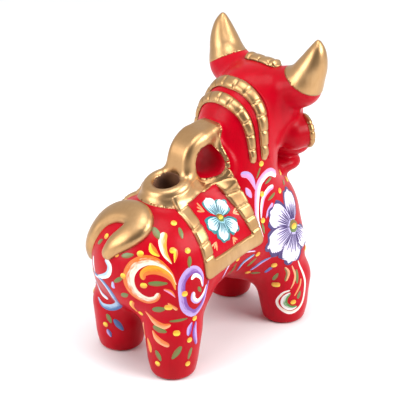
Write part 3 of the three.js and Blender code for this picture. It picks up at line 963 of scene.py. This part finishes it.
class Decoration(Relief):
    """Brush strokes laid out in one elevation, a across and b up; right and left share their numbers."""

    def __init__(self, view):
        super().__init__(red_surface, 6, 1.3)
        self.view = view

    def stroke(self, rows, height, tones):
        """rows hold a, b and the half width."""
        flat = spline(rows, 10)
        line = np.column_stack([on_skin(self.view, flat[:, 0], flat[:, 1]), flat[:, 2]])
        self.strips.append(dict(line=line, height=height, sink=0.3, tones=tones, level=self.level))

    def line(self, left, right, *rows):
        self.stroke([(a, b, half * BRUSH_WIDTH) for a, b, half in rows], film(0.2), (left, right))

    def leaves(self, *rows):
        """rows hold a leaf's two ends, its half width and its two tones where it isn't green."""
        for xa, za, xb, zb, half, *tones in rows:
            middle = ((xa + xb) / 2, (za + zb) / 2, half)
            self.line(*(tones or (OLIVE, MOSS)), (xa, za, half * 0.55), middle, (xb, zb, half * 0.3))

    def disc(self, a, b, radius, height, tones):
        self.stroke([(a - radius, b, radius), (a, b, radius), (a + radius, b, radius)], height, tones)

    def dots(self, *places):
        for a, b in places:
            self.disc(a, b, DOT_RADIUS, drop, (LEMON, AMBER))

    def flower(self, centre, petals, edge, white, heart, streak, eye, count):
        """petals hold each tip's place and the petal's half width; each petal lies over the one before."""
        ca, cb = centre
        for order, (a, b, half) in enumerate(petals):
            da, db = a - ca, b - cb
            size = math.hypot(da, db)
            layer = 0.1 * order

            def place(out, aside):
                """The point that lies a share of the petal's length out and so many millimetres aside."""
                return ca + da * out - db / size * aside, cb + db * out + da / size * aside

            for grow, rise, tones in ((0.3 + 0.17 * half, 0.16 + layer, ((edge, edge), (edge, edge))),
                                      (0.0, 0.24 + layer, ((heart, heart), (white, white)))):
                reach = 1 + grow / size
                rows = [(*place(k * reach, 0), half * w + grow) for k, w in PETAL_OUTLINE]
                self.stroke(rows, film(rise), tones)
            width = 0.2 + 0.011 * size
            for i in range(count):
                spread = (i / (count - 1) - 0.5) * 2
                tip = place(0.62 - 0.1 * abs(spread) + 0.08 * (i % 2), half * 0.75 * spread)
                foot = place(0.2, half * 0.3 * spread)
                middle = ((tip[0] + foot[0]) / 2, (tip[1] + foot[1]) / 2)
                rows = [(*foot, width * 0.7), (*middle, width), (*tip, width * 0.4)]
                self.stroke(rows, film(0.4 + layer), (streak, streak))
        self.disc(ca, cb, eye * 1.5, film(0.9), (MOSS, OLIVE))
        self.disc(ca, cb, eye, film(1.0), (LEMON, AMBER))

    def sprig(self, foot, tip):
        """Three short strokes that fan out."""
        da, db = tip[0] - foot[0], tip[1] - foot[1]
        for turn in (-0.55, 0, 0.55):
            end = (foot[0] + da - db * turn, foot[1] + db + da * turn)
            middle = ((foot[0] + end[0]) / 2, (foot[1] + end[1]) / 2)
            self.line(PEACH, ORANGE, (*foot, 0.25), (*middle, 0.5), (*end, 0.4))


def paint_piece(name, view, draw):
    decoration = Decoration(view)
    draw(decoration)
    add_piece(decoration.build(name), BRUSH)


def saddle_flower(d):
    d.level = CLOTH_HEIGHT
    centre = (-15, 92)
    petals = [(-16, 102, 4.6), (-5, 98, 4.6), (-5, 83.5, 4.6), (-20, 81.5, 4.4), (-27.5, 90.5, 4.4)]
    d.flower(centre, petals, TEAL, ICE, srgb(150, 208, 222), PETROL, eye=1.9, count=6)
    for foot, tip in (((-10, 101.5), (-9, 105)), ((-23, 97), (-26, 100)), ((-3.5, 91.5), (0, 92)),
                      ((-26, 83), (-29, 80)), ((-11.5, 81), (-10, 77.5))):
        d.sprig(foot, tip)


def shoulder(d):
    d.flower((43, 70), [(47, 91, 6.6), (23, 86, 8), (19, 63, 8.6), (35.5, 48, 8), (54, 56, 6.8)],
             PURPLE, PETAL, srgb(196, 184, 226), PURPLE, eye=2.8, count=8)
    d.line(IVORY, PINK, (15, 72, 0.2), (12, 82, 0.9), (13, 91, 1.2), (16, 100, 1.5), (20, 106, 1.8),
           (28, 109, 2), (37, 104, 1.8))
    d.line(PINK, IVORY, (15, 84, 0.3), (17, 91, 0.9), (20, 96, 1.1), (26, 99, 1.3), (31, 99, 1.1))
    d.line(PINK, LAVENDER, (19, 83, 0.3), (22, 87, 0.9), (27, 90, 0.9))
    d.line(LAVENDER, PINK, (15, 101, 0.2), (14, 107, 1.3), (12, 111, 1.6), (8, 112, 1.4))
    d.line(LAVENDER, PINK, (9, 104, 0.3), (10, 101, 1.4), (11, 97.5, 0.5))
    d.leaves((21, 114, 17, 108, 0.5), (30, 105, 23, 103, 0.8), (31, 95, 23, 93, 0.8), (15, 81, 16, 74, 0.8),
             (48, 96, 45, 94, 1.0))
    d.dots((22, 116), (47, 100.5), (19, 98), (37, 94), (16, 82.5), (54, 51), (55, 93))


def belly(d):
    d.line(IVORY, LAVENDER, (-19, 56, 0.4), (-16, 64, 0.6), (-6, 68, 0.6), (9, 64.5, 0.3))
    d.line(SKY, BLUE, (1, 51, 0.5), (1, 58, 1.2), (9, 62, 0.7))
    d.line(LAVENDER, BLUE, (14, 46, 0.8), (18, 52, 1.0), (24, 55, 0.2))
    d.line(VIOLET, BLUE, (24, 42, 0.7), (26, 46.5, 1.1))
    d.leaves((-8, 52, -7, 62, 1.1), (8, 52, 12, 58, 1.1), (30, 35, 31, 41, 1.1), (17, 42, 22, 42, 1.1))
    d.dots((12, 61), (-7, 65), (27, 48), (32, 31.5), (14, 44))


def front_leg(d):
    d.line(OLIVE, PEACH, (34, 45, 0.6), (37, 40, 1.1), (36, 34, 0.8))
    d.line(PEACH, PEACH, (39, 45, 0.3), (42, 38, 0.6), (41, 33, 0.5), (39, 28, 0.2))
    d.line(CREAM, IVORY, (44, 47, 0.3), (48, 38, 0.6), (50, 28, 0.7), (50, 18, 0.7), (47, 12, 0.8),
           (41, 9.5, 1.0), (36, 13, 0.8), (34, 19, 0.7), (35.5, 25, 0.6), (39, 27, 0.4))
    d.line(IVORY, LEAF_GREEN, (39.5, 25, 0.6), (37, 21.5, 1.5), (37.2, 16.5, 1.8), (40.5, 13.2, 1.5),
           (45, 13.5, 0.6))
    d.line(PEACH, ORANGE, (42, 22, 0.4), (45, 29, 0.6), (46, 34, 0.4))
    d.leaves((43, 41, 43, 31, 1.1), (45, 19, 46, 25, 1.1))
    d.dots((42, 17.5))


def hip(d):
    d.line(CREAM, AMBER, (-54, 94, 1.7), (-58, 89.5, 1.9), (-59.5, 84, 1.3), (-58, 78.5, 0.2))
    d.leaves((-57, 96, -58.5, 91, 1.6), (-45, 95, -47, 90, 1.1), (-47, 81, -49, 74.5, 1.1))
    d.line(LEMON, ORANGE, (-53, 86, 0.5), (-54.5, 83, 1), (-56.5, 79, 0.2))
    d.line(LAVENDER, VIOLET, (-41.5, 61, 0.5), (-41.5, 68, 1.2), (-45, 72.5, 1.9), (-50, 72, 2),
           (-54.5, 67, 1.8), (-55.5, 59, 1.8), (-54, 50.5, 2), (-48, 45.5, 2), (-42.5, 49, 1.4),
           (-39, 56, 0.7), (-36, 63, 0.3))
    d.line(IVORY, IVORY, (-41.5, 61, 0.4), (-42, 66.5, 0.9), (-45.5, 69.5, 1.1), (-49, 67.5, 0.6))
    d.line(LAVENDER, IVORY, (-48.5, 60, 0.9), (-49, 55.5, 1.3), (-45.5, 53, 1.2), (-41, 56, 0.8),
           (-38, 61, 0.3))
    d.leaves((-45, 62, -43, 58, 1.0))
    d.line(LAVENDER, VIOLET, (-49, 39.5, 0.4), (-51.5, 36, 1.3), (-53, 32, 0.8))
    d.line(VIOLET, LAVENDER, (-46, 39, 0.4), (-48, 32, 1.4), (-46, 23.5, 0.8))
    d.line(PINK, ORANGE, (-64, 64, 0.4), (-61, 62, 0.9), (-59, 58.5, 0.2))
    d.line(PEACH, ORANGE, (-62.5, 55, 0.4), (-58, 50, 0.9))
    d.leaves((-61, 42, -52, 43, 0.7), (-57, 26, -61, 17, 1.5), (-50, 23, -52, 15, 1.0))
    d.dots((-46, 97), (-47, 84), (-55, 85.5), (-54, 60), (-62, 52), (-59, 35), (-52, 29), (-52, 12),
           (-47, 41.5))


def rump(d):
    d.line(ORANGE, CREAM, (-36, 66, 0.2), (-33, 74, 0.7), (-28, 79.5, 1.6), (-22.5, 81, 2.4),
           (-17.5, 78, 2.9), (-15, 72, 3), (-15.5, 65, 2.8), (-18.5, 59, 2.4), (-23.5, 56, 2),
           (-28, 57.5, 1.5), (-30, 61.5, 1.2))
    d.line(ORANGE, AMBER, (-23, 69.5, 0.9), (-22.5, 73.5, 1.7), (-26, 76, 2.2), (-30.5, 74.5, 2),
           (-34, 70, 1.3), (-36, 63, 0.2))
    d.line(PEACH, ORANGE, (-20, 46.5, 0.3), (-24, 41, 1.3), (-30, 38.5, 1.5), (-34, 40, 0.7))
    d.line(PEACH, ORANGE, (-24, 34.5, 0.3), (-28, 30, 1.6), (-34.5, 26.5, 1.3))
    d.line(LEMON, ORANGE, (-20, 89.5, 0.4), (-23, 86, 1.7), (-27, 83, 0.3))
    d.line(LEMON, ORANGE, (-14.5, 53, 1.2), (-12, 48, 1.1), (-13, 43, 0.4))
    d.line(PEACH, PEACH, (-15, 36, 0.3), (-13.5, 31, 1), (-15.5, 24.5, 0.3))
    d.line(ORANGE, AMBER, (-19, 27, 0.7), (-20.5, 22, 1.7), (-21, 17.5, 0.8))
    d.leaves((-8, 81, -15, 83, 1.3), (-5, 64, -12, 69.5, 1.1), (-8, 55, -13.5, 58, 1.5),
             (-25, 67.5, -33, 67.5, 1.3), (-25, 49, -32.5, 51, 1.7), (-24, 37, -33, 35.5, 1.5),
             (-26, 21.5, -29, 14.5, 1.4))
    d.dots((-18, 84), (-4.5, 81), (-11.5, 70), (-23, 66), (-15.5, 43), (-26.5, 12))


def tail_side(d):
    """The cooler colours on the rear of the left leg."""
    d.line(SKY, IVORY, (18, 71.5, 0.7), (18, 66, 1.4), (16.5, 61.5, 0.5))
    d.line(SKY, BLUE, (24.5, 58, 0.5), (10, 60.5, 1.2), (1.5, 55, 2), (2.5, 45, 2.1), (12, 35, 2),
           (20, 33.5, 1.3), (26, 37, 0.4))
    d.line(IVORY, SKY, (28, 49, 0.5), (22, 42, 1.1), (15.5, 40, 1.2))
    d.line(SKY, IVORY, (3.5, 76, 1), (-1, 73, 1.5), (0, 67.5, 1.5), (8, 62.5, 1.1), (20, 57, 0.4))
    d.line(SKY, LAVENDER, (-4, 64, 0.6), (-3.2, 59, 1.3))
    d.leaves((18, 28.5, 16, 22, 1.3, OLIVE, MOSS), (14, 25.5, 10.5, 17, 1.6, BLUE, NAVY),
             (19, 17, 17, 11.5, 1.3, LAVENDER, NAVY), (15.5, 80, 11, 84, 1.2, OLIVE, MOSS))
    d.dots((20, 20), (9, 86.5))


for label, _ in SIDES:
    for draw in (saddle_flower, shoulder, belly, front_leg, hip):
        paint_piece(f"paint_{draw.__name__}_{label}", label, draw)
paint_piece("paint_rump_right", "rear", rump)
paint_piece("paint_rump_left", "rear", tail_side)


# ---- stage, in metres ----
FLOOR_HALF = 3.0
LIGHT_TARGET = (0, 0, 0.09)


def add_floor():
    mesh = bpy.data.meshes.new("floor")
    corners = [(x * FLOOR_HALF, y * FLOOR_HALF, 0) for x, y in ((-1, -1), (1, -1), (1, 1), (-1, 1))]
    mesh.from_pydata(corners, [], [(0, 1, 2, 3)])
    m = Material("floor_white")
    m.colour((m.grey(m.noise(6, 2, 0.5), "Fac", [(0.3, 0.86), (0.7, 0.9)]), "Color"))
    m.set(Roughness=0.6)
    mesh.materials.append(m.material)
    floor = add_object("floor", mesh)


def add_light(name, place, size, power):
    data = bpy.data.lights.new(name, "AREA")
    data.shape = "DISK"
    data.size = size
    data.energy = power
    light = add_object(name, data)
    light.location = place
    light.rotation_euler = (Vector(LIGHT_TARGET) - Vector(place)).to_track_quat("-Z", "Y").to_euler()


def add_world():
    """A white studio with one dark side, which the gold mirrors as soft dark bands."""
    world = bpy.data.worlds.new("studio")
    bpy.context.scene.world = world
    world.use_nodes = True
    tree = world.node_tree
    background = tree.nodes["Background"]
    coordinates = tree.nodes.new("ShaderNodeTexCoord")
    facing = tree.nodes.new("ShaderNodeVectorMath")
    facing.operation = "DOT_PRODUCT"
    facing.inputs[1].default_value = unit((-0.62, -0.72, 0.3))
    band = tree.nodes.new("ShaderNodeValToRGB")
    band.color_ramp.elements[0].position = 0.66
    band.color_ramp.elements[0].color = (0.95, 0.97, 1, 1)
    band.color_ramp.elements[1].position = 0.86
    band.color_ramp.elements[1].color = (0.05, 0.04, 0.035, 1)
    tree.links.new(coordinates.outputs["Generated"], facing.inputs[0])
    tree.links.new(facing.outputs["Value"], band.inputs["Fac"])
    tree.links.new(band.outputs["Color"], background.inputs["Color"])
    background.inputs["Strength"].default_value = 0.85


def add_camera():
    azimuth, elevation, distance = math.radians(45.5), math.radians(24.6), 0.821
    target = Vector(((-3.3 - CENTRE_X) / 1000, 0, 0.091))
    back = Vector((-math.cos(azimuth) * math.cos(elevation), -math.sin(azimuth) * math.cos(elevation),
                   math.sin(elevation)))
    data = bpy.data.cameras.new("camera")
    data.lens = 120.2
    data.sensor_width = 36
    camera = add_object("camera", data)
    camera.location = target + distance * back
    camera.rotation_euler = (-back).to_track_quat("-Z", "Y").to_euler()
    bpy.context.scene.camera = camera


add_floor()
add_world()
add_camera()
add_light("key", (0.35, -1.0, 0.85), 0.8, 15)
add_light("fill", (-1.05, 0.4, 0.6), 0.8, 8)
add_light("top", (-0.2, -0.1, 1.3), 0.8, 7)
bpy.context.scene.view_settings.view_transform = "Standard"
